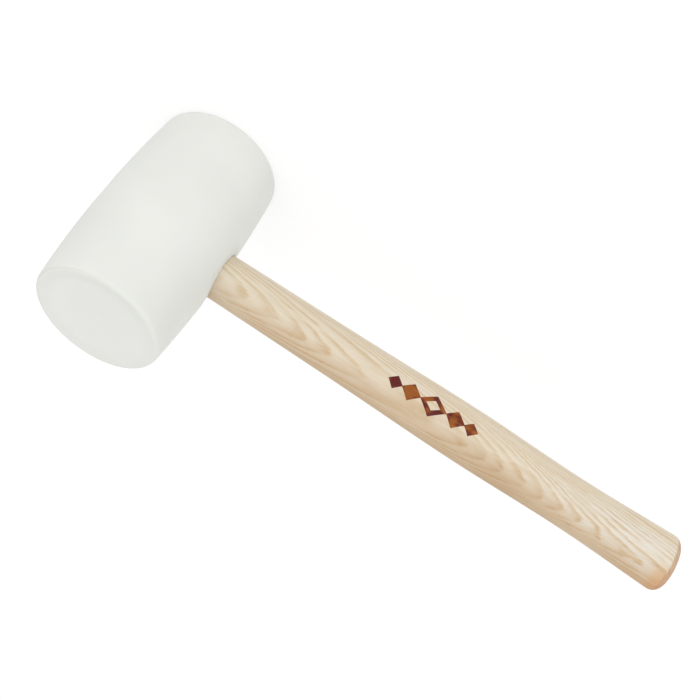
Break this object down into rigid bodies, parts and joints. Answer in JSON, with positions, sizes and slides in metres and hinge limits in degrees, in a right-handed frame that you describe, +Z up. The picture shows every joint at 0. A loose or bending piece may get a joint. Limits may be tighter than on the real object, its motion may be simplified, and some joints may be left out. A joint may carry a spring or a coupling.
{
  "type": "rubber mallet",
  "caption": "Rubber mallet: white barrel-shaped head with two flat striking faces, through-wedged on a waisted oval ash handle.",
  "frame": {"origin": "centre of the lower striking face", "axes": "+Z up along the head's axis to the upper striking face, +X out of the head along the handle to the butt"},
  "size_m": [0.3393, 0.072, 0.1187],
  "materials": {
    "white_rubber": "moulded, smooth satin",
    "ash": "sanded, clear lacquer",
    "beech": "sawn and sanded flush",
    "wedge_steel": "dull mill finish"
  },
  "bodies": {
    "root": {"rubber_head": "white_rubber", "handle": "ash", "wood_wedge": "beech", "steel_wedge": "wedge_steel"}
  },
  "joints": []
}
